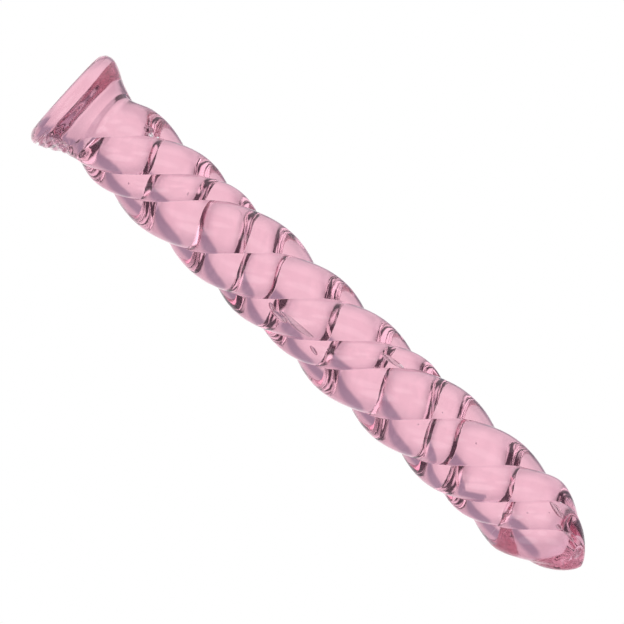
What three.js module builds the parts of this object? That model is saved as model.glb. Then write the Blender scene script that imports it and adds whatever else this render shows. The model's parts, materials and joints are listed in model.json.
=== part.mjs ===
// A twisted glass wand: four rods of solid glass laid round one axis, fused and
// twisted to the left, with a flared foot at one end and a rounded nose at the
// other. It lies on a flat surface, foot towards -X and nose towards +X, with its
// origin on that surface below the middle of the wand. Millimetres, +Z up.
import * as THREE from "three";

// Driving dimensions.
const LENGTH = 180;
const LEAD = 62.2; // axial length of one full turn of the twist
const VALLEY_RADIUS = 9.8; // radius at the bottom of the valleys between strands
const SEAM_GAP = 0.3; // clearance left between neighbouring solids

// The foot: a flat end face, a thick round rim, and a flare that narrows to the neck.
const RIM_RADIUS = 15.2;
const RIM_ROUNDING = 3.9;
const FLARE_SHOULDER = 6.4; // how far the flare's curve keeps the width of the rim
const FLARE_WAIST = 9.8; // where it is pulled in to the neck
const NECK_RADIUS = 10.2;
const NECK_END = 13; // where the foot gives way to the strands
const STRANDS_FULL = 20; // where the strands have swelled to their full size

// The nose: its envelope falls as (1 - t^shoulder)^point, over t from 0 to 1, while
// the strands melt into one round tip that sits a little off the axis.
const NOSE_START = 159.5;
const NOSE_RADIUS = 12;
const NOSE_SHOULDER = 1.7;
const NOSE_POINT = 0.7;
const NOSE_LEAN = -1;

// The wand has sat down on a surface while soft: all that would lie below that
// surface is flat. Its depth below the axis is given at the end face and further on.
const REST_DEPTH = 14.07;
const REST_DEPTH_FAR = 12.08;
const REST_SPAN = 150;

// How finely the solids are faceted.
const ARC_STEPS = 10;
const STEP_LENGTH = 2.45;
const ROUND_STEPS = 48;
const FOOT_STEPS = 6;
const NOSE_STEPS = 9;

// The four strands in order round the axis, each with the radius of its crest. Each
// lies between its own valley and the next strand's. valley is the angle of its own
// one at the end face, in degrees from +Y towards +Z, and drift is how far, in
// degrees, that valley wanders from a true helix at equal stations to the tip.
const STRANDS = [
  { name: "strand_broad", crest: 12.3, valley: 82.8, drift: [0, 0, 2, 2, 10, 2, -10] },
  { name: "strand_medium", crest: 12.2, valley: 188.8, drift: [0, -4, -4, -3, 1, 6, 0] },
  { name: "strand_slim", crest: 11.6, valley: 271.2, drift: [-9, -1, -3, 6, 12, 5, -4] },
  { name: "strand_widest", crest: 12.6, valley: 326.1, drift: [10, 5, 2, 16, 11, 8, 12] },
];
const DRIFTS = STRANDS.map(({ drift }) => {
  return new THREE.SplineCurve(drift.map((value, i) => new THREE.Vector2(i, value)));
});

const FULL_TURN = 360;
const radians = THREE.MathUtils.degToRad;
const degrees = THREE.MathUtils.radToDeg;
const { clamp, euclideanModulo, lerp, smoothstep } = THREE.MathUtils;

// Angle in degrees of the valley before strand k, at axial place s. Strand 4 is
// strand 0 again, one turn on.
function valleyAngle(k, s) {
  const turns = Math.floor(k / STRANDS.length);
  const own = k % STRANDS.length;
  const drift = DRIFTS[own].getPoint(clamp(s / LENGTH, 0, 1)).y;
  return STRANDS[own].valley + drift + FULL_TURN * (turns - s / LEAD);
}

// The angle of the middle of strand k at axial place s, and half the angle it fills.
function spread(k, s) {
  const from = valleyAngle(k, s);
  const to = valleyAngle(k + 1, s);
  return { middle: (to + from) / 2, half: (to - from) / 2 };
}

// Radius of a strand's round back, off degrees from its middle: the section is a
// circle through the crest and both valleys.
function backRadius(crest, half, off) {
  const toValley = VALLEY_RADIUS * Math.cos(radians(half));
  const centre = (crest ** 2 - VALLEY_RADIUS ** 2) / (2 * (crest - toValley));
  const across = centre * Math.sin(radians(off));
  return centre * Math.cos(radians(off)) + Math.sqrt((crest - centre) ** 2 - across ** 2);
}

// Radius of strand k's back at axial place s: it swells out of the neck, keeps its
// size along the shaft, and melts into the nose.
function outerRadius(k, s, off) {
  const { half } = spread(k, s);
  const back = backRadius(STRANDS[k].crest, half, clamp(off, -half, half));
  const swollen = lerp(NECK_RADIUS, back, smoothstep(s, NECK_END - SEAM_GAP, STRANDS_FULL));
  const t = clamp((s - NOSE_START) / (LENGTH - NOSE_START), 0, 1);
  return lerp(swollen, NOSE_RADIUS, t) * (1 - t ** NOSE_SHOULDER) ** NOSE_POINT;
}

// Moves vertex i to a radius and an angle at axial place s, in the wand's own frame,
// whose axis runs along +X from the end face.
function place(position, i, s, radius, angle) {
  const t = clamp((s - NOSE_START) / (LENGTH - NOSE_START), 0, 1);
  const y = radius * Math.cos(radians(angle)) + NOSE_LEAN * t ** 2;
  position.setXYZ(i, s, y, radius * Math.sin(radians(angle)));
}

// Flattens all that would lie below the surface that the wand rests on.
function sitDown(geometry) {
  const position = geometry.getAttribute("position");
  for (let i = 0; i < position.count; i++) {
    const depth = lerp(REST_DEPTH, REST_DEPTH_FAR, position.getX(i) / REST_SPAN);
    position.setZ(i, Math.max(position.getZ(i), -depth));
  }
  return geometry;
}

// One strand: a sector of unit radius, extruded straight and then wound round the
// axis. A point's angle off +Y is its share of the strand's half angle, and its
// distance from the corner is its share of the radius. The whole sector is then
// drawn back along its middle, which clears both of its side walls.
function strandGeometry(k) {
  const arc = new THREE.EllipseCurve(0, 0, 1, 1, Math.PI / 2 - 1, Math.PI / 2 + 1);
  const section = new THREE.Shape([new THREE.Vector2(0, 0), ...arc.getPoints(ARC_STEPS)]);
  const from = NECK_END + SEAM_GAP / 2;
  const to = NOSE_START - SEAM_GAP / 2;
  const geometry = new THREE.ExtrudeGeometry(section, {
    depth: 1,
    steps: Math.round((to - from) / STEP_LENGTH),
    bevelEnabled: false,
  });
  const position = geometry.getAttribute("position");
  for (let i = 0; i < position.count; i++) {
    const [x, y] = [position.getX(i), position.getY(i)];
    const s = lerp(to, from, position.getZ(i));
    const { middle, half } = spread(k, s);
    const off = half * Math.atan2(x, y);
    const clear = SEAM_GAP / 2 / Math.sin(radians(half));
    const radius = Math.hypot(x, y) * (outerRadius(k, s, off) - clear);
    place(position, i, s, radius, middle + off);
    position.setY(i, position.getY(i) + clear * Math.cos(radians(middle)));
    position.setZ(i, position.getZ(i) + clear * Math.sin(radians(middle)));
  }
  return geometry;
}

// The foot: a lathed rim and flare.
function footGeometry() {
  const end = NECK_END - SEAM_GAP / 2;
  const profile = new THREE.Path();
  profile.moveTo(0, 0);
  profile.lineTo(RIM_RADIUS - RIM_ROUNDING, 0);
  profile.absarc(RIM_RADIUS - RIM_ROUNDING, RIM_ROUNDING, RIM_ROUNDING, -Math.PI / 2, 0, false);
  profile.bezierCurveTo(
    RIM_RADIUS, FLARE_SHOULDER,
    NECK_RADIUS, FLARE_WAIST,
    NECK_RADIUS, end,
  );
  profile.lineTo(0, end);
  const geometry = new THREE.LatheGeometry(profile.getPoints(FOOT_STEPS), ROUND_STEPS);
  const position = geometry.getAttribute("position");
  for (let i = 0; i < position.count; i++) {
    position.setXYZ(i, position.getY(i), position.getZ(i), position.getX(i));
  }
  return geometry;
}

// Outer radius of the nose at any angle: that of whichever strand is there.
function noseRadius(angle, s) {
  const offs = STRANDS.map((_, k) => {
    const turned = angle - spread(k, s).middle + FULL_TURN / 2;
    return euclideanModulo(turned, FULL_TURN) - FULL_TURN / 2;
  });
  const k = offs.findIndex((off, i) => Math.abs(off) <= spread(i, s).half + Number.EPSILON);
  return outerRadius(Math.max(k, 0), s, offs[Math.max(k, 0)]);
}

// The nose: a lathed drum of unit radius, drawn out to the nose's radius. Its rings
// lie closer together towards the tip.
function noseGeometry() {
  const from = NOSE_START + SEAM_GAP / 2;
  const profile = [new THREE.Vector2(0, from)];
  for (let i = 0; i < NOSE_STEPS; i++) {
    const share = Math.sin((i / NOSE_STEPS) * (Math.PI / 2));
    profile.push(new THREE.Vector2(1, lerp(from, LENGTH, share)));
  }
  profile.push(new THREE.Vector2(0, LENGTH));
  const geometry = new THREE.LatheGeometry(profile, ROUND_STEPS);
  const position = geometry.getAttribute("position");
  for (let i = 0; i < position.count; i++) {
    const [up, s, across] = [position.getX(i), position.getY(i), position.getZ(i)];
    const angle = degrees(Math.atan2(up, across));
    place(position, i, s, Math.hypot(up, across) * noseRadius(angle, s), angle);
  }
  return geometry;
}

// Clear rose-pink glass, polished by the flame.
function roseGlass() {
  return new THREE.MeshStandardMaterial({
    color: new THREE.Color(0.86, 0.6, 0.69),
    roughness: 0.02,
    metalness: 0,
    transparent: true,
    opacity: 0.5,
  });
}

function piece(name, geometry) {
  const mesh = new THREE.Mesh(sitDown(geometry), roseGlass());
  mesh.name = name;
  return mesh;
}

const wand = new THREE.Group();
wand.add(piece("foot", footGeometry()));
STRANDS.forEach(({ name }, k) => wand.add(piece(name, strandGeometry(k))));
wand.add(piece("nose", noseGeometry()));
wand.rotation.y = Math.atan((REST_DEPTH - REST_DEPTH_FAR) / REST_SPAN);

const part = new THREE.Group();
part.add(wand);
const box = new THREE.Box3().setFromObject(part, true);
const centre = box.getCenter(new THREE.Vector3());
wand.position.set(-centre.x, -centre.y, -box.min.z);

export default part;
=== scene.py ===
"""A twisted wand of rose-pink glass, lying on a white light table.

The wand is four glass rods fused and twisted to the left, with a flared foot at one end and a
round nose at the other. Each rod, the foot and the nose is a piece of its own. Neighbours meet
in fused walls, which the glass lets light straight through, so that the wand looks like the one
solid body of glass that it is.

Places on the wand are given in its own frame: s is the distance along the axis from the flat end
of the foot, and an angle runs round the axis from +Y towards +Z. Lengths are in metres.
"""

import json
import logging
import math
from dataclasses import dataclass, field
from enum import Enum

import bpy
import numpy as np
from mathutils import Matrix, Vector


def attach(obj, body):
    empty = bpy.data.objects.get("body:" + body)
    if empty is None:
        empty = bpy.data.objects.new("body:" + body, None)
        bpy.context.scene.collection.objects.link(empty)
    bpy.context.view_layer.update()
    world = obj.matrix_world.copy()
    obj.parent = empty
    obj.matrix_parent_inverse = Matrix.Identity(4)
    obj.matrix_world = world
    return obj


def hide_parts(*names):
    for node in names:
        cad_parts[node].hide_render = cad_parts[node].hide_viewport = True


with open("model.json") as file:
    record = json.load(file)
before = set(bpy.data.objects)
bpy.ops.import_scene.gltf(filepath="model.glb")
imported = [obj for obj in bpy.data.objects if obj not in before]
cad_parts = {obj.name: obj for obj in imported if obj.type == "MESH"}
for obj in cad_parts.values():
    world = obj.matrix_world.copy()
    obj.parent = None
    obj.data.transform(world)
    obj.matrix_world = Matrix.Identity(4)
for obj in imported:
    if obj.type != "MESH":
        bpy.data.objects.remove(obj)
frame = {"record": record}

logger = logging.getLogger("glass_wand")

MM = 0.001
FULL_TURN = 2 * math.pi
SKIN = "skin"
BLOWN = "blown"
GLASS_BOUNCES = 48  # how often light may turn back and forth inside the wand
FUSED_WALLS = 64  # how many fused walls it may pass straight through
TINY = 1e-30  # keeps a division away from nought
MIDWAY = 0.5  # halfway between 0 and 1, as between the axis and the skin of a unit bar
END_MARGIN = 1e-4  # how near its end face the face centres of a unit bar's end lie
WELD = 1e-6  # how near to each other points of a unit bar are taken for one


class Side(Enum):
    """What lies beyond a face of a piece."""

    FUSED = 0.0
    AIR = 1.0


def smoothstep(value: np.ndarray, low: float, high: float) -> np.ndarray:
    """Rises smoothly from 0 at low to 1 at high."""
    t = np.clip((value - low) / (high - low), 0.0, 1.0)
    return t * t * (3 - 2 * t)


def unit(vectors: np.ndarray) -> np.ndarray:
    """Scales vectors to unit length, and leaves zeros as they are."""
    return vectors / np.maximum(np.linalg.norm(vectors, axis=-1, keepdims=True), TINY)


def select_only(obj: bpy.types.Object) -> None:
    """Makes one object the selected and active one."""
    bpy.ops.object.select_all(action="DESELECT")
    obj.select_set(True)
    bpy.context.view_layer.objects.active = obj


def points_of(obj: bpy.types.Object) -> np.ndarray:
    """All vertices of a mesh object, one row each."""
    flat = np.empty(len(obj.data.vertices) * 3)
    obj.data.vertices.foreach_get("co", flat)
    return flat.reshape(-1, 3)


def move_points(obj: bpy.types.Object, points: np.ndarray) -> None:
    """Puts the vertices of a mesh object at new places."""
    obj.data.vertices.foreach_set("co", points.ravel())
    obj.data.update()


@dataclass(frozen=True)
class Rod:
    """One of the rods that the shaft is twisted from.

    Attributes:
        name: the piece's name.
        crest: radius of the rod's back, from the wand's axis.
        valley: angle, in degrees at s = 0, of the valley before the rod.
        drift: how far that valley wanders from a true helix, in degrees, at equal stations.
        seed: sets the rod's own slight waviness.
    """

    name: str
    crest: float
    valley: float
    drift: tuple[float, ...]
    seed: float


RODS = (
    Rod("strand_broad", 12.3 * MM, 82.8, (0, 0, 2, 2, 10, 2, -10), 1.7),
    Rod("strand_medium", 12.2 * MM, 188.8, (0, -4, -4, -3, 1, 6, 0), 4.1),
    Rod("strand_slim", 11.6 * MM, 271.2, (-9, -1, -3, 6, 12, 5, -4), 6.3),
    Rod("strand_widest", 12.6 * MM, 326.1, (10, 5, 2, 16, 11, 8, 12), 9.2),
)


@dataclass(frozen=True)
class WandForm:
    """The outer surface of the whole wand, as a formula.

    Attributes:
        length: from the flat end of the foot to the tip.
        lead: axial length of one full turn of the twist.
        valley_radius: radius at the bottom of the valleys between rods.
        fillet: how far apart two backs may be where the valley between them is rounded.
        rest_depth: depth of the surface that the wand rests on, below the axis at s = 0.
        rest_rise: how much nearer that surface comes to the axis, for each unit of s.
        rest_round: how softly the glass turns into the flats where it rests.
        rim_radius: radius at the fullest part of the foot's rim.
        rim_rounding: radius of the rim's rounding on to the flat end.
        flare_end: where the flare behind the rim has narrowed to the neck, on top.
        flare_slump: how much further it reaches underneath, where the soft glass sat down.
        flare_hollow: how long it stays full before it falls to the neck.
        neck_radius: radius of the neck between foot and shaft.
        neck_end: where the piece that is the foot ends, and the rods begin.
        rods_start: where the rods begin to swell out of the neck.
        rods_full: where they have swelled to their full size.
        nose_start: where the rods give way to the nose.
        nose_radius: radius that the rods melt into.
        nose_shoulder: how long the nose keeps its width.
        nose_point: how blunt the tip is.
        nose_lean: how far the tip sits off the axis.
        wave: height of the waviness that hand work leaves.
        wave_run: how far along the axis it takes to turn by one radian.
        wave_twist: how fast it turns across a rod's back.
        second_wave, second_run: height and speed of the second wave, as shares of the first's.
        near_reach: how far past its valley a neighbour's back is followed, as a share.
        fillet_share: share of a rod's half angle beyond which a valley may be rounded.
    """

    length: float = 180 * MM
    lead: float = 62.2 * MM
    valley_radius: float = 9.65 * MM
    fillet: float = 0.10 * MM
    rest_depth: float = 14.05 * MM
    rest_rise: float = 1.99 / 150
    rest_round: float = 0.05 * MM
    rim_radius: float = 15.1 * MM
    rim_rounding: float = 3.3 * MM
    flare_end: float = 13 * MM
    flare_slump: float = 3 * MM
    flare_hollow: float = 1.75
    neck_radius: float = 10.15 * MM
    neck_end: float = 13 * MM
    rods_start: float = 8 * MM
    rods_full: float = 20 * MM
    nose_start: float = 159.5 * MM
    nose_radius: float = 12 * MM
    nose_shoulder: float = 1.6
    nose_point: float = 0.65
    nose_lean: float = -1 * MM
    wave: float = 0.08 * MM
    wave_run: float = 17 * MM
    wave_twist: float = 1.9
    second_wave: float = 0.6
    second_run: float = 2.3
    near_reach: float = 1.15
    fillet_share: float = 0.6

    def valley(self, k: int, s: np.ndarray) -> np.ndarray:
        """Angle of the valley before a rod.

        Args:
            k: the rod's number; the count of the rods is the first rod again, one turn on.
            s: axial places.

        Returns:
            The angle at each place, in radians.
        """
        rod = RODS[k % len(RODS)]
        stations = np.linspace(0, self.length, len(rod.drift))
        slopes = np.gradient(np.array(rod.drift, float), stations)
        i = np.clip(np.searchsorted(stations, s) - 1, 0, len(stations) - 2)
        step = stations[1]
        t = np.clip((s - stations[i]) / step, 0.0, 1.0)
        drift = (
            (1 + 2 * t) * (1 - t) ** 2 * np.take(rod.drift, i)
            + t * (1 - t) ** 2 * step * slopes[i]
            + t * t * (3 - 2 * t) * np.take(rod.drift, i + 1)
            + t * t * (t - 1) * step * slopes[i + 1]
        )
        turns = k // len(RODS) - s / self.lead
        return np.radians(rod.valley + drift) + FULL_TURN * turns

    def spread(self, k: int, s: np.ndarray) -> tuple[np.ndarray, np.ndarray]:
        """Angle of a rod's middle, and half the angle that it fills, at axial places s."""
        start, end = self.valley(k, s), self.valley(k + 1, s)
        return (start + end) / 2, (end - start) / 2

    def back(self, k: int, s: np.ndarray, off: np.ndarray) -> np.ndarray:
        """Radius of a rod's round back, without its neighbours.

        Args:
            k: the rod's number.
            s: axial places.
            off: angles off the rod's middle.

        Returns:
            The radius at each place.
        """
        rod = RODS[k % len(RODS)]
        half = self.spread(k, s)[1]
        foot_of_arc = self.valley_radius * np.cos(half)
        centre = (rod.crest**2 - self.valley_radius**2) / (2 * (rod.crest - foot_of_arc))
        across = centre * np.sin(off)
        round_back = centre * np.cos(off) + np.sqrt((rod.crest - centre) ** 2 - across**2)
        along, about = s / self.wave_run, off * self.wave_twist
        second = np.sin(self.second_run * along - about + 2 * rod.seed)
        ripple = np.sin(along + rod.seed + about) + self.second_wave * second
        return round_back + self.wave * ripple * np.cos(np.clip(off / half, -1, 1) * math.pi / 2)

    def radius(self, k: int, share: np.ndarray, s: np.ndarray) -> np.ndarray:
        """Outer radius of the shaft and nose.

        Args:
            k: the rod's number.
            share: the share of the rod's half angle, from -1 to 1.
            s: axial places.

        Returns:
            The radius at each place.
        """
        middle, half = self.spread(k, s)
        off = share * half
        own = self.back(k, s, off)
        other = np.where(share > 0, 1, -1)
        beyond = np.empty_like(own)
        for step in (-1, 1):
            there = other == step
            near = (k + step) % len(RODS)
            near_middle, near_half = self.spread(near, s)
            gap = middle + off - near_middle
            gap = (gap + math.pi) % FULL_TURN - math.pi
            furthest = self.near_reach * near_half
            reach = np.clip(gap, -furthest, furthest)
            beyond = np.where(there, self.back(near, s, reach), beyond)
        close = np.maximum(self.fillet - np.abs(own - beyond), 0) / self.fillet
        close = np.where(np.abs(share) > self.fillet_share, close, 0)
        lobed = own + close**2 * self.fillet / 4
        grown = smoothstep(s, self.rods_start, self.rods_full)
        swollen = self.neck_radius + (lobed - self.neck_radius) * grown
        under = (1 - np.sin(middle + off)) / 2
        flare_length = self.flare_end + self.flare_slump * under - self.rim_rounding
        onward = np.clip((s - self.rim_rounding) / flare_length, 0, 1)
        flare = (1 - onward) ** 2 * (1 + self.flare_hollow * onward)
        swollen = swollen + (self.rim_radius - self.neck_radius) * flare
        t = np.clip((s - self.nose_start) / (self.length - self.nose_start), 0, 1)
        melted = swollen + (self.nose_radius - swollen) * t
        return melted * (1 - t**self.nose_shoulder) ** self.nose_point

    def on_axis(self, s: np.ndarray, radius: np.ndarray, angle: np.ndarray) -> np.ndarray:
        """Points of the glass, in the wand's own frame, sat down on the surface below it.

        Args:
            s: axial places.
            radius: distances from the axis.
            angle: angles round the axis.

        Returns:
            One point for each place, with the nose's lean.
        """
        t = np.clip((s - self.nose_start) / (self.length - self.nose_start), 0, 1)
        y = radius * np.cos(angle) + self.nose_lean * t**2
        depth = self.rest_depth - self.rest_rise * s
        clear = radius * np.sin(angle) + depth
        clear = (clear + np.sqrt(clear**2 + self.rest_round**2)) / 2
        return np.stack([s, y, clear - depth], axis=-1)

    def piece_at(self, s: float, angle: float) -> str:
        """Name of the piece that holds a place in the glass.

        Args:
            s: axial place.
            angle: angle round the axis, in radians.

        Returns:
            The name of a rod, or "foot" or "nose".
        """
        if s < self.neck_end:
            return "foot"
        if s > self.nose_start:
            return "nose"
        for k, rod in enumerate(RODS):
            middle, half = self.spread(k, np.array([s]))
            off = (angle - middle[0] + math.pi) % FULL_TURN - math.pi
            if abs(off) <= half[0]:
                return rod.name
        return RODS[0].name

    def skin(self, k: int, share: np.ndarray, s: np.ndarray) -> np.ndarray:
        """Points of the outer surface over rod k, at shares of its half angle."""
        middle, half = self.spread(k, s)
        return self.on_axis(s, self.radius(k, share, s), middle + share * half)

    def skin_normals(self, k: int, share: np.ndarray, s: np.ndarray) -> np.ndarray:
        """Outward normals of the outer surface over rod k.

        Args:
            k: the rod's number.
            share: shares of the rod's half angle.
            s: axial places.

        Returns:
            One unit normal for each place.
        """
        step = 1e-3
        run = 0.02 * MM
        across = self.skin(k, share + step, s) - self.skin(k, share - step, s)
        s_low = np.clip(s - run, 0, self.length - 3 * run)
        lengthways = self.skin(k, share, s_low + 2 * run) - self.skin(k, share, s_low)
        return unit(np.cross(across, lengthways))


FORM = WandForm()


@dataclass(frozen=True)
class WandAxis:
    """Where the wand's own frame lies in the part's frame.

    Attributes:
        matrix: takes a point of the wand's own frame to the part's frame.
    """

    matrix: Matrix

    @classmethod
    def from_mount(cls, mount: dict) -> "WandAxis":
        """Reads the frame from the mount on the foot's flat end.

        Args:
            mount: the mount as the record gives it, whose axis points out of the end.

        Returns:
            The wand's axis in the part's frame.
        """
        along = -Vector(mount["axis"])
        side = Vector((0, 1, 0))
        up = along.cross(side)
        turn = Matrix((along, side, up)).transposed().to_4x4()
        return cls(Matrix.Translation(Vector(mount["pos_m"])) @ turn)

    def place(self, points: np.ndarray) -> np.ndarray:
        """Moves points of the wand's own frame to the part's frame."""
        turn = np.array(self.matrix.to_3x3())
        return points @ turn.T + np.array(self.matrix.translation)

    def turn(self, directions: np.ndarray) -> np.ndarray:
        """Turns directions of the wand's own frame to the part's frame."""
        return directions @ np.array(self.matrix.to_3x3()).T


@dataclass(frozen=True)
class RoseGlass:
    """Clear glass tinted a pale rose through its depth, polished by the flame.

    Attributes:
        name: the material's name.
        ior: index of refraction.
        blush: the palest and the deepest tint of its skin, from cord to cord.
        tint: colour that the depth of the glass lets through best.
        depth_density: how fast that colour builds up, per metre.
        painted_bubble_shade: painted shade on the walls of the bubbles in it, a grey tint that
            makes them look grey.
        cord_scale: how close together the faint cords in the glass lie, per metre.
        cord_height: how far they stand out, in metres.
        cord_stretch: their scale along each axis, less along the wand, which draws them out.
        cord_detail: how many finer layers they have.
        haze: the least and the most roughness of the flame-polished skin.
    """

    name: str
    ior: float = 1.5
    blush: tuple[tuple[float, float, float], ...] = ((0.87, 0.53, 0.625), (0.85, 0.47, 0.575))
    tint: tuple[float, float, float] = (0.85, 0.27, 0.40)
    depth_density: float = 3.5
    # painted shade: a grey tint on the bubble walls stands in for the grey look of the bubbles
    painted_bubble_shade: tuple[float, float, float] = (0.78, 0.82, 0.81)
    cord_scale: float = 260.0
    cord_height: float = 0.04 * MM
    cord_stretch: tuple[float, float, float] = (0.35, 1.0, 1.0)
    cord_detail: float = 2.0
    haze: tuple[float, float] = (0.0, 0.03)

    def material(self) -> bpy.types.Material:
        """Makes the material.

        Returns:
            The glass, whose fused faces let light straight through.
        """
        material = bpy.data.materials.new(self.name)
        material.use_nodes = True
        tree = material.node_tree
        nodes, link = tree.nodes, tree.links.new
        shader = nodes["Principled BSDF"]
        output = nodes["Material Output"]
        shader.inputs["Transmission Weight"].default_value = 1.0
        shader.inputs["IOR"].default_value = self.ior
        skin = nodes.new("ShaderNodeAttribute")
        skin.attribute_name = SKIN
        link(skin.outputs["Fac"], shader.inputs["Alpha"])

        place = nodes.new("ShaderNodeTexCoord")
        stretch = nodes.new("ShaderNodeMapping")
        stretch.inputs["Scale"].default_value = self.cord_stretch
        link(place.outputs["Object"], stretch.inputs["Vector"])
        cords = nodes.new("ShaderNodeTexNoise")
        cords.inputs["Scale"].default_value = self.cord_scale
        cords.inputs["Detail"].default_value = self.cord_detail
        link(stretch.outputs["Vector"], cords.inputs["Vector"])
        bump = nodes.new("ShaderNodeBump")
        bump.inputs["Distance"].default_value = self.cord_height
        link(cords.outputs["Fac"], bump.inputs["Height"])
        link(bump.outputs["Normal"], shader.inputs["Normal"])
        polish = nodes.new("ShaderNodeMapRange")
        polish.inputs["To Min"].default_value, polish.inputs["To Max"].default_value = self.haze
        link(cords.outputs["Fac"], polish.inputs["Value"])
        link(polish.outputs["Result"], shader.inputs["Roughness"])
        blush = nodes.new("ShaderNodeValToRGB")
        for element, colour in zip(blush.color_ramp.elements, self.blush):
            element.color = (*colour, 1)
        link(cords.outputs["Fac"], blush.inputs["Fac"])
        blown = nodes.new("ShaderNodeAttribute")
        blown.attribute_name = BLOWN
        # The walls of bubbles and flakes take a painted shade, a grey tint, in place of the rose
        # blush.
        colour = nodes.new("ShaderNodeMix")
        colour.data_type = "RGBA"
        factor, of_glass, of_painted_bubble_shade = colour.inputs[0], colour.inputs[6], colour.inputs[7]
        of_painted_bubble_shade.default_value = (*self.painted_bubble_shade, 1)
        link(blown.outputs["Fac"], factor)
        link(blush.outputs["Color"], of_glass)
        link(colour.outputs[2], shader.inputs["Base Color"])

        depth = nodes.new("ShaderNodeVolumeAbsorption")
        depth.inputs["Color"].default_value = (*self.tint, 1)
        depth.inputs["Density"].default_value = self.depth_density
        link(depth.outputs["Volume"], output.inputs["Volume"])
        return material


@dataclass(frozen=True)
class Seed:
    """A bubble left in the glass, drawn out along the twist.

    Attributes:
        s: its place along the axis.
        angle: its place round the axis, in degrees at its own s.
        radius: its distance from the axis.
        length: its length along the twist.
        width: its width.
        slant: how far it leans off the axis direction, in degrees.
        thick: its thickness, or 0 for as thick as it is wide.
    """

    s: float
    angle: float
    radius: float
    length: float
    width: float
    slant: float = -45.0
    thick: float = 0.0

    def home(self) -> str:
        """Name of the piece that it lies in."""
        return FORM.piece_at(self.s, math.radians(self.angle))

    def blow(self, axis: WandAxis) -> bpy.types.Object:
        """Models the bubble: a drawn-out hollow whose faces look into it.

        Args:
            axis: where the wand lies.

        Returns:
            The hollow's own object, to be joined to the glass round it.
        """
        angle = math.radians(self.angle)
        centre = FORM.on_axis(np.array(self.s), np.array(self.radius), np.array(angle))
        around = Matrix.Rotation(angle - math.pi / 2, 4, "X")
        lean = Matrix.Rotation(math.radians(self.slant), 4, "Z")
        size = Matrix.Diagonal((self.length, self.width, self.thick or self.width, 1))
        turn = axis.matrix.to_3x3().to_4x4()
        bpy.ops.object.select_all(action="DESELECT")
        bpy.ops.mesh.primitive_uv_sphere_add(segments=20, ring_count=12, radius=0.5)
        bubble = bpy.context.active_object
        place = Matrix.Translation(Vector(axis.place(centre)))
        bubble.data.transform(place @ turn @ around @ lean @ size)
        bpy.ops.object.mode_set(mode="EDIT")
        bpy.ops.mesh.select_all(action="SELECT")
        bpy.ops.mesh.flip_normals()
        bpy.ops.object.mode_set(mode="OBJECT")
        # The blown mark picks out the faces that take the painted grey shade of the bubbles.
        for name, value in ((SKIN, Side.AIR.value), (BLOWN, 1.0)):
            attribute = bubble.data.attributes.new(name, "FLOAT", "FACE")
            values = np.full(len(bubble.data.polygons), value, np.float32)
            attribute.data.foreach_set("value", values)
        return bubble


@dataclass(frozen=True)
class Crinkle:
    """A patch of small folds and flakes of air that were caught in the glass.

    Attributes:
        s: the middle of the patch along the axis.
        angle: its place round the axis, in degrees.
        radius: its distance from the axis.
        reach: how far it spreads along the axis, round it in degrees, and in depth.
        count: how many flakes it holds.
        size: the shortest and longest flake.
        flat: thickness of a flake, as a share of its width.
        draw: number that its random places start from.
        scatter: how widely the flakes scatter, as a share of the reach.
        widths: the least and the most width of a flake, as shares of its length.
        slants: how far the flakes lean off the axis direction, in degrees.
    """

    s: float
    angle: float
    radius: float
    reach: tuple[float, float, float]
    count: int
    size: tuple[float, float]
    flat: float
    draw: int
    scatter: float = 0.45
    widths: tuple[float, float] = (0.3, 0.6)
    slants: tuple[float, float] = (-80, 20)

    def seeds(self) -> tuple[Seed, ...]:
        """Scatters the flakes, the same ones each time.

        Returns:
            One seed for each flake.
        """
        chance = np.random.RandomState(self.draw)
        flakes = []
        for _ in range(self.count):
            shift = np.clip(chance.normal(0, self.scatter, 3), -1, 1) * self.reach
            length = chance.uniform(*self.size)
            width = length * chance.uniform(*self.widths)
            flakes.append(
                Seed(
                    self.s + shift[0],
                    self.angle + shift[1],
                    self.radius + shift[2],
                    length,
                    width,
                    chance.uniform(*self.slants),
                    width * self.flat,
                )
            )
        return tuple(flakes)


SEEDS = (
    Seed(27.9 * MM, 125, 10.6 * MM, 0.6 * MM, 0.4 * MM),
    Seed(40.9 * MM, 79.5, 11.0 * MM, 1.1 * MM, 0.28 * MM, -70),
    Seed(54.0 * MM, 47.5, 10.8 * MM, 1.3 * MM, 0.10 * MM, -20),
    Seed(54.6 * MM, 50, 10.8 * MM, 0.9 * MM, 0.10 * MM, -30),
    Seed(79.4 * MM, 123, 9.6 * MM, 5.0 * MM, 1.5 * MM, 8, 1.2 * MM),
    Seed(76.4 * MM, 120, 9.9 * MM, 2.6 * MM, 1.3 * MM, -20, 1.0 * MM),
    Seed(84.0 * MM, 113, 10.2 * MM, 11.0 * MM, 1.6 * MM, 5, 0.35 * MM),
    Seed(91.9 * MM, 127, 9.8 * MM, 3.0 * MM, 1.0 * MM, -8, 0.9 * MM),
    Seed(108.6 * MM, 58, 10.3 * MM, 7.0 * MM, 1.5 * MM, 12, 0.3 * MM),
    Seed(107.2 * MM, 78, 10.9 * MM, 1.0 * MM, 0.22 * MM, 70),
    Seed(124.4 * MM, 101, 11.0 * MM, 0.34 * MM, 0.3 * MM),
    Seed(127.0 * MM, 67, 11.0 * MM, 0.4 * MM, 0.34 * MM),
    Seed(138.6 * MM, 68, 11.0 * MM, 0.45 * MM, 0.36 * MM),
    Seed(160.4 * MM, 91, 11.0 * MM, 0.5 * MM, 0.3 * MM, 40),
    Seed(164.5 * MM, 70, 10.6 * MM, 0.36 * MM, 0.3 * MM),
    Seed(165.6 * MM, 55, 9.2 * MM, 5.4 * MM, 1.9 * MM, -6, 1.6 * MM),
    Seed(176.2 * MM, 60, 2.0 * MM, 2.2 * MM, 3.2 * MM, 10, 1.8 * MM),
)

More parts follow.
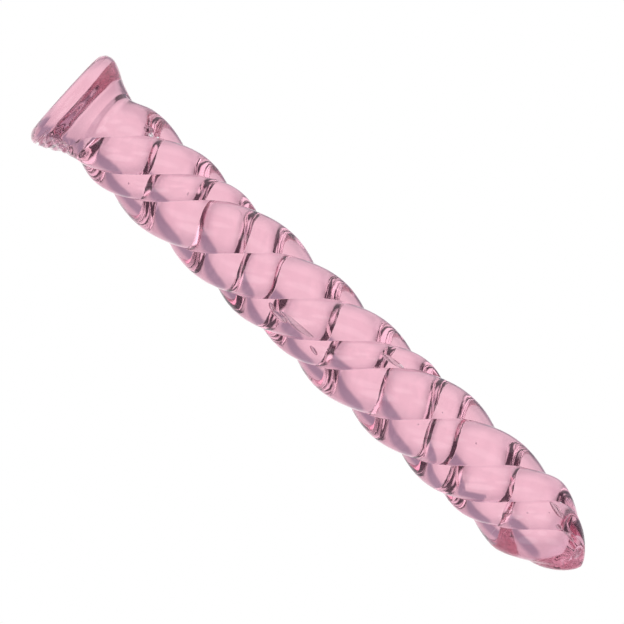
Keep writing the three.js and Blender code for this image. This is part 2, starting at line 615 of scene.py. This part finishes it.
CRINKLES = (
    Crinkle(23.6 * MM, 40, 9.8 * MM, (2.6 * MM, 10, 0.6 * MM), 18, (0.6 * MM, 2.0 * MM), 0.4, 3),
    Crinkle(3.2 * MM, 166, 12.2 * MM, (2.2 * MM, 14, 1.0 * MM), 7, (0.8 * MM, 2.0 * MM), 0.6, 5),
    Crinkle(7.6 * MM, 156, 9.8 * MM, (3.2 * MM, 16, 1.2 * MM), 14, (1.2 * MM, 3.0 * MM), 0.6, 8),
    Crinkle(5.4 * MM, 116, 11.2 * MM, (1.3 * MM, 30, 0.5 * MM), 16, (0.2 * MM, 0.6 * MM), 0.7, 9),
    Crinkle(170.4 * MM, 66, 6.4 * MM, (2.6 * MM, 7, 0.4 * MM), 5, (1.2 * MM, 2.6 * MM), 0.2, 12),
    Crinkle(164.2 * MM, 32, 9.6 * MM, (1.6 * MM, 8, 0.5 * MM), 4, (0.8 * MM, 1.8 * MM), 0.2, 15),
)


@dataclass
class GlassPiece:
    """A closed body of glass, part of the wand.

    Attributes:
        name: the piece's name.
        axis: where the wand lies.
        glass: the material.
        seam: how far its fused walls stay clear of its neighbour's, measured from midway.
        obj: the piece's object, once it is built.
    """

    name: str
    axis: WandAxis
    glass: bpy.types.Material
    seam: float = 0.01 * MM
    obj: bpy.types.Object | None = field(default=None, init=False)

    def lay(self) -> np.ndarray:
        """Models the piece's glass.

        Returns:
            One normal for each vertex of its skin, and zeros elsewhere.
        """
        raise NotImplementedError

    def build(self) -> bpy.types.Object:
        """Builds the piece, dresses it, and puts it in its node's place.

        Returns:
            The piece's object.
        """
        normals = self.lay()
        self.blow_seeds()
        self.set_normals(normals)
        self.obj.data.materials.append(self.glass)
        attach(self.obj, "root")
        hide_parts(self.name)
        logger.info("%s: %d faces", self.name, len(self.obj.data.polygons))
        return self.obj

    def mark_skin(self, is_skin: np.ndarray) -> None:
        """Records which faces are skin and which are fused to a neighbour.

        Args:
            is_skin: face by face, whether there is air beyond it.
        """
        attribute = self.obj.data.attributes.new(SKIN, "FLOAT", "FACE")
        values = np.where(is_skin, Side.AIR.value, Side.FUSED.value).astype(np.float32)
        attribute.data.foreach_set("value", values)

    def name_blank(self) -> None:
        """Takes up the primitive just added as this piece's object."""
        self.obj = bpy.context.active_object
        self.obj.name = f"{self.name}_glass"
        bpy.ops.object.transform_apply(rotation=True)

    def round_bar(self, columns: int) -> None:
        """Adds a bar of unit radius and unit length along the axis, closed at both ends.

        Args:
            columns: how many faces it has round it.
        """
        bpy.ops.object.select_all(action="DESELECT")
        bpy.ops.mesh.primitive_cylinder_add(
            vertices=columns,
            radius=1,
            depth=1,
            end_fill_type="TRIFAN",
            rotation=(0, math.pi / 2, 0),
        )
        self.name_blank()

    def cut_rings(self, count: int) -> None:
        """Cuts a blank of unit length into rings across its length.

        Args:
            count: how many cuts it gets.
        """
        bpy.ops.object.mode_set(mode="EDIT")
        bpy.ops.mesh.select_mode(type="EDGE")
        bpy.ops.mesh.select_all(action="DESELECT")
        bpy.ops.object.mode_set(mode="OBJECT")
        points = points_of(self.obj)
        for edge in self.obj.data.edges:
            a, b = (points[i] for i in edge.vertices)
            edge.select = bool(abs(a[0] - b[0]) > MIDWAY)
        bpy.ops.object.mode_set(mode="EDIT")
        bpy.ops.mesh.subdivide_edgering(number_cuts=count, interpolation="LINEAR")
        bpy.ops.object.mode_set(mode="OBJECT")

    def finish_blank(self, points: np.ndarray, is_skin: np.ndarray) -> None:
        """Gives the blank its final form, in its place.

        Args:
            points: the final vertices, in the wand's own frame.
            is_skin: face by face, whether it is air-side skin.
        """
        move_points(self.obj, self.axis.place(points))
        self.mark_skin(is_skin)
        select_only(self.obj)
        bpy.ops.object.mode_set(mode="EDIT")
        bpy.ops.mesh.select_all(action="SELECT")
        bpy.ops.mesh.normals_make_consistent(inside=False)
        bpy.ops.object.mode_set(mode="OBJECT")

    def blow_seeds(self) -> None:
        """Hollows out of the piece the bubbles and flakes that lie in it."""
        flaws = SEEDS + tuple(flake for patch in CRINKLES for flake in patch.seeds())
        blown = [flaw.blow(self.axis) for flaw in flaws if flaw.home() == self.name]
        bpy.ops.object.select_all(action="DESELECT")
        for bubble in blown:
            bubble.select_set(True)
        self.obj.select_set(True)
        bpy.context.view_layer.objects.active = self.obj
        if blown:
            bpy.ops.object.join()

    def set_normals(self, normals: np.ndarray) -> None:
        """Gives the skin the true normals of the form, so that no seam shows in it.

        Args:
            normals: one normal for each vertex of the skin, and zeros elsewhere.
        """
        mesh = self.obj.data
        select_only(self.obj)
        bpy.ops.object.shade_smooth()
        loop_vertex = np.empty(len(mesh.loops), np.int32)
        mesh.loops.foreach_get("vertex_index", loop_vertex)
        skin = np.empty(len(mesh.polygons), np.float32)
        mesh.attributes[SKIN].data.foreach_get("value", skin)
        starts = np.empty(len(mesh.polygons), np.int32)
        counts = np.empty(len(mesh.polygons), np.int32)
        mesh.polygons.foreach_get("loop_start", starts)
        mesh.polygons.foreach_get("loop_total", counts)
        flat = np.empty(len(mesh.polygons) * 3)
        mesh.polygons.foreach_get("normal", flat)
        face_normals = np.repeat(flat.reshape(-1, 3), counts, axis=0)
        on_skin = np.repeat(skin > MIDWAY, counts)
        whole = np.zeros((len(mesh.vertices), 3))
        whole[: len(normals)] = normals
        given = whole[loop_vertex]
        known = on_skin & (np.linalg.norm(given, axis=1) > MIDWAY)
        auto = on_skin & ~known
        chosen = np.where(known[:, None], given, face_normals)
        chosen[auto] = 0
        mesh.normals_split_custom_set(chosen.tolist())


@dataclass
class Strand(GlassPiece):
    """A rod of the shaft: a quarter of a round bar, wound round the axis.

    Attributes:
        columns: faces across its back.
        rings: cuts along it.
        skin_reach: how far off the axis of the blank the centres of its back's faces lie.
        normal_reach: how far off it the vertices of its back lie.
    """

    columns: int = 48
    rings: int = 420
    skin_reach: float = 0.95
    normal_reach: float = 0.9

    def lay(self) -> np.ndarray:
        """Models the rod as a straight quarter bar, and winds it round the axis.

        Returns:
            One normal for each vertex of its skin, and zeros elsewhere.
        """
        k = [rod.name for rod in RODS].index(self.name)
        self.quarter_bar()
        self.cut_rings(self.rings)
        points = points_of(self.obj)
        reach = np.hypot(points[:, 1], points[:, 2])
        lean = np.arctan2(points[:, 1], points[:, 2])
        share = np.sin(np.clip(lean / (math.pi / 4), -1, 1) * math.pi / 2)
        share[reach < MIDWAY] = 0
        low, high = FORM.neck_end + self.seam, FORM.nose_start - self.seam
        s = low + (high - low) * (points[:, 0] - points[:, 0].min())
        middle, half = FORM.spread(k, s)
        wound = FORM.on_axis(s, reach * FORM.radius(k, share, s), middle + share * half)
        clear = self.seam / np.sin(half)
        wound[:, 1] += clear * np.cos(middle)
        wound[:, 2] += clear * np.sin(middle)
        faces = self.obj.data.polygons
        centres = np.array([face.center for face in faces])
        is_skin = np.hypot(centres[:, 1], centres[:, 2]) > self.skin_reach
        is_skin &= np.abs(np.array([face.normal for face in faces])[:, 0]) < MIDWAY
        normals = FORM.skin_normals(k, share, s)
        normals[reach < self.normal_reach] = 0
        self.finish_blank(wound, is_skin)
        return self.axis.turn(normals)

    def quarter_bar(self) -> None:
        """Models a quarter of a round bar, of unit radius and unit length."""
        bpy.ops.object.select_all(action="DESELECT")
        bpy.ops.mesh.primitive_circle_add(
            vertices=4 * self.columns,
            radius=1,
            fill_type="TRIFAN",
            rotation=(0, math.pi / 2, 0),
        )
        self.name_blank()
        bpy.ops.object.mode_set(mode="EDIT")
        for plane_no in ((0, 1, 1), (0, -1, 1)):
            bpy.ops.mesh.select_all(action="SELECT")
            bpy.ops.mesh.bisect(plane_co=(0, 0, 0), plane_no=plane_no, clear_inner=True)
        bpy.ops.mesh.select_all(action="SELECT")
        bpy.ops.mesh.remove_doubles(threshold=WELD)
        bpy.ops.mesh.extrude_region_move(TRANSFORM_OT_translate={"value": (1, 0, 0)})
        bpy.ops.object.mode_set(mode="OBJECT")


@dataclass
class Drum(GlassPiece):
    """A piece made from a short round bar, whose surface follows the rods round it.

    Attributes:
        columns: faces round it over each rod.
        rings: cuts along it.
    """

    columns: int = 48
    rings: int = 110

    def places(self, points: np.ndarray) -> tuple[np.ndarray, np.ndarray, np.ndarray]:
        """Reads off a straight blank which rod each vertex lies over.

        Args:
            points: the blank's vertices.

        Returns:
            Each vertex's rod, its share of that rod's half angle, and its reach off the axis.
        """
        total = self.columns * len(RODS)
        turned = (np.arctan2(points[:, 2], points[:, 1]) % FULL_TURN) / FULL_TURN
        column = np.round(turned * total).astype(int) % total
        share = np.sin((2 * (column % self.columns) / self.columns - 1) * math.pi / 2)
        return column // self.columns, share, np.hypot(points[:, 1], points[:, 2])


@dataclass
class Nose(Drum):
    """The nose: a short round bar, drawn down to a blunt tip.

    Attributes:
        tip_share: share of the blank beyond which the skin faces straight out of the tip.
    """

    tip_share: float = 0.9995

    def lay(self) -> np.ndarray:
        """Models the nose as a short bar, and draws it down.

        Returns:
            One normal for each vertex of its skin, and zeros elsewhere.
        """
        self.round_bar(self.columns * len(RODS))
        self.cut_rings(self.rings)
        points = points_of(self.obj)
        along = points[:, 0] - points[:, 0].min()
        rod, share, reach = self.places(points)
        low = FORM.nose_start + self.seam
        s = np.minimum(low + (FORM.length - low) * np.sin(along * math.pi / 2), FORM.length)
        shaped = np.zeros_like(points)
        normals = np.zeros_like(points)
        for k in range(len(RODS)):
            mine = rod == k
            middle, half = FORM.spread(k, s[mine])
            radius = reach[mine] * FORM.radius(k, share[mine], s[mine])
            shaped[mine] = FORM.on_axis(s[mine], radius, middle + share[mine] * half)
            normals[mine] = FORM.skin_normals(k, share[mine], s[mine])
        normals[along > self.tip_share] = (1, 0, 0)
        normals[reach < MIDWAY] = 0
        faces = self.obj.data.polygons
        is_skin = np.array([face.center[0] for face in faces]) > points[:, 0].min() + END_MARGIN
        self.finish_blank(shaped, is_skin)
        return self.axis.turn(normals)


@dataclass
class Foot(Drum):
    """The foot: a round bar, flared and pressed flat on its end, with a crumpled fold.

    Attributes:
        face_share, rim_share: shares of the outline where the face and the rim's rounding end.
        face_core: radius of the face's middle ring, as a share of the face's own.
        nick_place, nick_width, nick_depth: the groove behind the rim, at the fold.
        fold_angle, fold_reach: middle of the fold and how far it reaches round, in degrees.
        fold_core: share of that reach over which the fold is at its full height.
        fold_rise, fold_fall: where along the axis the fold grows and where it dies away.
        fold_height: how much the fold is crumpled.
        creases: turns along each millimetre, turns round, and phase of each crumpling wave.
        warp: how unevenly the whole foot is pressed.
        warp_rise, warp_fall: where along the axis that grows and where it dies away.
        warp_floor: how much of it lies below the mean, which keeps it inside the true form.
        bulges: count round, phase and height of each of its waves.
        step: how far apart, in shares, the places are that give the skin's normals.
    """

    rings: int = 190
    face_share: float = 0.12
    rim_share: float = 0.45
    face_core: float = 0.05
    nick_place: float = 3.5 * MM
    nick_width: float = 0.3 * MM
    nick_depth: float = 0.9 * MM
    fold_angle: float = 172.0
    fold_reach: float = 44.0
    fold_core: float = 0.4
    fold_rise: tuple[float, float] = (2.2 * MM, 4.2 * MM)
    fold_fall: tuple[float, float] = (9.5 * MM, 12.4 * MM)
    fold_height: float = 1.0 * MM
    creases: tuple[tuple[float, float, float], ...] = (
        (0.7, 4, 0.3),
        (-1.1, 6, 1.9),
        (1.5, 3, 4.0),
        (1.2, -8, 2.2),
    )
    warp: float = 0.10 * MM
    warp_rise: tuple[float, float] = (0.4 * MM, 3 * MM)
    warp_fall: tuple[float, float] = (8 * MM, 12.5 * MM)
    warp_floor: float = 2.1
    bulges: tuple[tuple[float, float, float], ...] = ((2, 0.6, 1.0), (5, 2.1, 0.7), (9, 0.0, 0.4))
    step: float = 5e-4

    def skin(self, k: int, share: np.ndarray, v: np.ndarray) -> np.ndarray:
        """Points of the foot's surface over rod k.

        Args:
            k: the rod's number.
            share: shares of the rod's half angle.
            v: shares of the outline, from the middle of the end face, round the rim, to the neck.

        Returns:
            One point for each place.
        """
        v = np.clip(v, 0, 1)
        face_radius = FORM.rim_radius - FORM.rim_rounding
        end = FORM.neck_end - self.seam
        rounding = self.rim_share - self.face_share
        turn = np.clip((v - self.face_share) / rounding, 0, 1) * math.pi / 2
        onward = np.clip((v - self.rim_share) / (1 - self.rim_share), 0, 1)
        s = FORM.rim_rounding * (1 - np.cos(turn)) + (end - FORM.rim_rounding) * onward
        s = np.maximum(s, self.seam)
        outwards = np.clip(v / self.face_share, 0, 1)
        r = face_radius * (self.face_core + (1 - self.face_core) * outwards)
        r = r + FORM.rim_rounding * np.sin(turn)
        r = np.where(onward > 0, FORM.radius(k, share, s), r)
        middle, half = FORM.spread(k, s)
        angle = middle + share * half
        r = r - self.flaws(s, angle)
        return FORM.on_axis(s, r, angle)

    def flaws(self, s: np.ndarray, angle: np.ndarray) -> np.ndarray:
        """How far the surface lies inside its true form: the fold, the nick, the uneven rim.

        Args:
            s: axial places.
            angle: angles round the axis.

        Returns:
            The depth at each place.
        """
        off = (angle - math.radians(self.fold_angle) + math.pi) % FULL_TURN - math.pi
        reach = math.radians(self.fold_reach)
        fold = 1 - smoothstep(np.abs(off), reach * self.fold_core, reach)
        behind_rim = smoothstep(s, *self.fold_rise) * (1 - smoothstep(s, *self.fold_fall))
        crumple = np.zeros_like(s)
        for along, about, phase in self.creases:
            crumple += np.sin(along * s / MM + about * angle + phase) ** 2 / len(self.creases)
        nick = np.exp(-(((s - self.nick_place) / self.nick_width) ** 2))
        pressed = smoothstep(s, *self.warp_rise) * (1 - smoothstep(s, *self.warp_fall))
        uneven = sum(height * np.sin(count * angle + phase) for count, phase, height in self.bulges)
        return (
            fold * behind_rim * crumple * self.fold_height
            + fold * nick * self.nick_depth
            + pressed * self.warp * (uneven + self.warp_floor) / 2
        )

    def lay(self) -> np.ndarray:
        """Models the foot as a short bar, and flares it.

        Returns:
            One normal for each vertex of its skin.
        """
        self.round_bar(self.columns * len(RODS))
        self.cut_rings(self.rings)
        points = points_of(self.obj)
        v = np.clip(points[:, 0] - points[:, 0].min(), 0, 1)
        rod, share, reach = self.places(points)
        step = self.step
        shaped = np.zeros_like(points)
        normals = np.zeros_like(points)
        for k in range(len(RODS)):
            mine = rod == k
            at, along = share[mine], v[mine]
            shaped[mine] = self.skin(k, at, along)
            onward = self.skin(k, at, along + step) - self.skin(k, at, along - step)
            across = self.skin(k, at + step, along) - self.skin(k, at - step, along)
            normals[mine] = unit(np.cross(across, onward))
        normals[v < self.face_share - step] = (-1, 0, 0)
        shaped[reach < MIDWAY, 1:] = 0
        faces = self.obj.data.polygons
        is_skin = np.array([face.center[0] for face in faces]) < points[:, 0].max() - END_MARGIN
        self.finish_blank(shaped, is_skin)
        return self.axis.turn(normals)


@dataclass(frozen=True)
class SoftPatch:
    """A soft-edged round patch of light or shade in the room round the wand.

    Attributes:
        bearing: its direction round the vertical, in degrees from +X towards +Y.
        height: its direction above the horizontal, in degrees.
        inner: how far from its middle it keeps its full strength, in degrees.
        outer: how far from its middle it has faded out, in degrees.
        glow: its colour and strength.
        screened: whether its glare is kept off the skin, so that it only shows through the glass.
    """

    bearing: float
    height: float
    inner: float
    outer: float
    glow: tuple[float, float, float]
    screened: bool = False

    def lay_over(
        self, tree: bpy.types.NodeTree, ray: bpy.types.NodeSocket, under: bpy.types.NodeSocket
    ) -> bpy.types.NodeSocket:
        """Lays the patch over the room's colour so far.

        Args:
            tree: the room's node tree.
            ray: the direction looked in.
            under: the colour that the patch covers.

        Returns:
            The socket of the covered colour.
        """
        bearing, height = math.radians(self.bearing), math.radians(self.height)
        towards = tree.nodes.new("ShaderNodeVectorMath")
        towards.operation = "DOT_PRODUCT"
        towards.inputs[1].default_value = (
            math.cos(height) * math.cos(bearing),
            math.cos(height) * math.sin(bearing),
            math.sin(height),
        )
        tree.links.new(ray, towards.inputs[0])
        edge = tree.nodes.new("ShaderNodeMapRange")
        edge.interpolation_type = "SMOOTHSTEP"
        edge.inputs["From Min"].default_value = math.cos(math.radians(self.outer))
        edge.inputs["From Max"].default_value = math.cos(math.radians(self.inner))
        tree.links.new(towards.outputs["Value"], edge.inputs["Value"])
        level = edge.outputs["Result"]
        if self.screened:
            path = tree.nodes.new("ShaderNodeLightPath")
            screen = tree.nodes.new("ShaderNodeMath")
            screen.operation = "MULTIPLY"
            tree.links.new(level, screen.inputs[0])
            tree.links.new(path.outputs["Is Transmission Ray"], screen.inputs[1])
            level = screen.outputs["Value"]
        cover = tree.nodes.new("ShaderNodeMix")
        cover.data_type = "RGBA"
        factor, first, second = cover.inputs[0], cover.inputs[6], cover.inputs[7]
        second.default_value = (*self.glow, 1)
        tree.links.new(level, factor)
        tree.links.new(under, first)
        return cover.outputs[2]


@dataclass
class LightTable:
    """The white table that the wand lies on, and the soft room round it.

    Attributes:
        size: the table's width.
        wall: the room's colour to the eye.
        dusk: the colour that the glass sees where no patch is.
        patches: what the glass looks into, each laid over those before it.
    """

    size: float = 3.0
    wall: tuple[float, float, float] = (0.9, 0.9, 0.92)
    dusk: tuple[float, float, float] = (0.09, 0.07, 0.09)
    patches: tuple[SoftPatch, ...] = (
        SoftPatch(-90, -8, 22, 46, (0.45, 0.42, 0.46)),
        SoftPatch(0, -90, 30, 62, (0.82, 0.80, 0.83)),
        SoftPatch(180, -56, 27, 40, (0.84, 0.82, 0.85)),
        SoftPatch(0, -60, 18, 32, (0.82, 0.80, 0.83)),
        SoftPatch(-90, -62, 16, 34, (0.86, 0.84, 0.87)),
        SoftPatch(-90, -83, 10, 32, (1.10, 1.10, 1.10)),
        SoftPatch(97, -30, 37, 43, (0.45, 0.45, 0.54)),
        SoftPatch(97, -8, 36, 50, (0.84, 0.79, 0.83)),
        SoftPatch(-90, 58, 14, 24, (1.35, 1.30, 1.36)),
        SoftPatch(95, 72, 7, 14, (1.15, 1.10, 1.15)),
        SoftPatch(5, 52, 8, 18, (0.98, 0.94, 0.98)),
        SoftPatch(185, 58, 8, 18, (0.98, 0.94, 0.98)),
        SoftPatch(180, -12, 20, 54, (0.98, 0.96, 1.02)),
        SoftPatch(0, 0, 12, 44, (0.56, 0.48, 0.58)),
        SoftPatch(82, -3, 13, 20, (2.0, 2.0, 2.05), screened=True),
        SoftPatch(50, 31, 8, 15, (1.8, 1.8, 1.85), screened=True),
    )

    def build(self) -> None:
        """Builds the table's top and the room."""
        bpy.ops.object.select_all(action="DESELECT")
        bpy.ops.mesh.primitive_plane_add(size=self.size)
        top = bpy.context.active_object
        top.name = "light_table"
        top.data.materials.append(self.opal())
        self.room()

    def opal(self) -> bpy.types.Material:
        """Makes the table's opal glass.

        Returns:
            A material that is evenly white to the eye, and lets the wand's glass see the room.
        """
        material = bpy.data.materials.new("opal_top")
        material.use_nodes = True
        tree = material.node_tree
        tree.nodes.remove(tree.nodes["Principled BSDF"])
        white = tree.nodes.new("ShaderNodeEmission")
        white.inputs["Color"].default_value = (1, 1, 1, 1)
        through = tree.nodes.new("ShaderNodeBsdfTransparent")
        seen = tree.nodes.new("ShaderNodeLightPath")
        mix = tree.nodes.new("ShaderNodeMixShader")
        tree.links.new(seen.outputs["Is Camera Ray"], mix.inputs["Fac"])
        tree.links.new(through.outputs["BSDF"], mix.inputs[1])
        tree.links.new(white.outputs["Emission"], mix.inputs[2])
        tree.links.new(mix.outputs["Shader"], tree.nodes["Material Output"].inputs["Surface"])
        return material

    def room(self) -> None:
        """The room: pale to the eye, with soft light and shade where the glass looks into it."""
        world = bpy.data.worlds.new("room")
        world.use_nodes = True
        bpy.context.scene.world = world
        tree = world.node_tree
        backdrop = tree.nodes["Background"]
        backdrop.inputs["Color"].default_value = (*self.wall, 1)
        place = tree.nodes.new("ShaderNodeTexCoord")
        base = tree.nodes.new("ShaderNodeRGB")
        base.outputs["Color"].default_value = (*self.dusk, 1)
        colour = base.outputs["Color"]
        for patch in self.patches:
            colour = patch.lay_over(tree, place.outputs["Generated"], colour)
        soft = tree.nodes.new("ShaderNodeBackground")
        tree.links.new(colour, soft.inputs["Color"])
        seen = tree.nodes.new("ShaderNodeLightPath")
        mix = tree.nodes.new("ShaderNodeMixShader")
        tree.links.new(seen.outputs["Is Camera Ray"], mix.inputs["Fac"])
        tree.links.new(soft.outputs["Background"], mix.inputs[1])
        tree.links.new(backdrop.outputs["Background"], mix.inputs[2])
        tree.links.new(mix.outputs["Shader"], tree.nodes["World Output"].inputs["Surface"])


@dataclass(frozen=True)
class Viewpoint:
    """A long lens straight above the wand.

    Attributes:
        turn: how far the wand's axis points below the picture's horizontal, in degrees.
        along: place on the axis that the middle of the picture shows.
        aside: how far beside the axis it is.
        width: width of what the picture shows.
        lens: focal length in millimetres.
        clip: how many times nearer and further than the wand the camera still sees.
    """

    turn: float = 42.13
    along: float = 84.84 * MM
    aside: float = 0.97 * MM
    width: float = 160.46 * MM
    lens: float = 1000.0
    clip: float = 10.0

    def build(self, axis: WandAxis) -> None:
        """Makes the camera and sets it as the scene's own.

        Args:
            axis: where the wand lies.
        """
        camera = bpy.data.cameras.new("viewpoint")
        camera.lens = self.lens
        distance = self.width * self.lens / camera.sensor_width
        camera.clip_start, camera.clip_end = distance / self.clip, distance * self.clip
        obj = bpy.data.objects.new("viewpoint", camera)
        bpy.context.scene.collection.objects.link(obj)
        place = Matrix.Translation((self.along, self.aside, distance))
        roll = Matrix.Rotation(math.radians(self.turn), 4, "Z")
        obj.matrix_world = axis.matrix @ place @ roll
        bpy.context.scene.camera = obj


def colour_and_paths() -> None:
    """Keeps whites white, and lets light find its way through the glass."""
    scene = bpy.context.scene
    scene.view_settings.view_transform = "Standard"
    scene.cycles.max_bounces = GLASS_BOUNCES
    scene.cycles.transmission_bounces = GLASS_BOUNCES
    scene.cycles.glossy_bounces = GLASS_BOUNCES
    scene.cycles.transparent_max_bounces = FUSED_WALLS


def main() -> None:
    """Builds the wand, its table and its light."""
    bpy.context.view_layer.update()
    mounts = {mount["name"]: mount for mount in frame["record"]["mounts"]}
    axis = WandAxis.from_mount(mounts["end_face"])
    Viewpoint().build(axis)
    LightTable().build()
    colour_and_paths()
    glass = RoseGlass("rose_glass").material()
    pieces = [Foot("foot", axis, glass)]
    pieces += [Strand(rod.name, axis, glass) for rod in RODS]
    pieces.append(Nose("nose", axis, glass))
    for piece in pieces:
        piece.build()


if __name__ == "__main__":
    logging.basicConfig(level=logging.INFO, format="%(name)s: %(message)s")
    main()
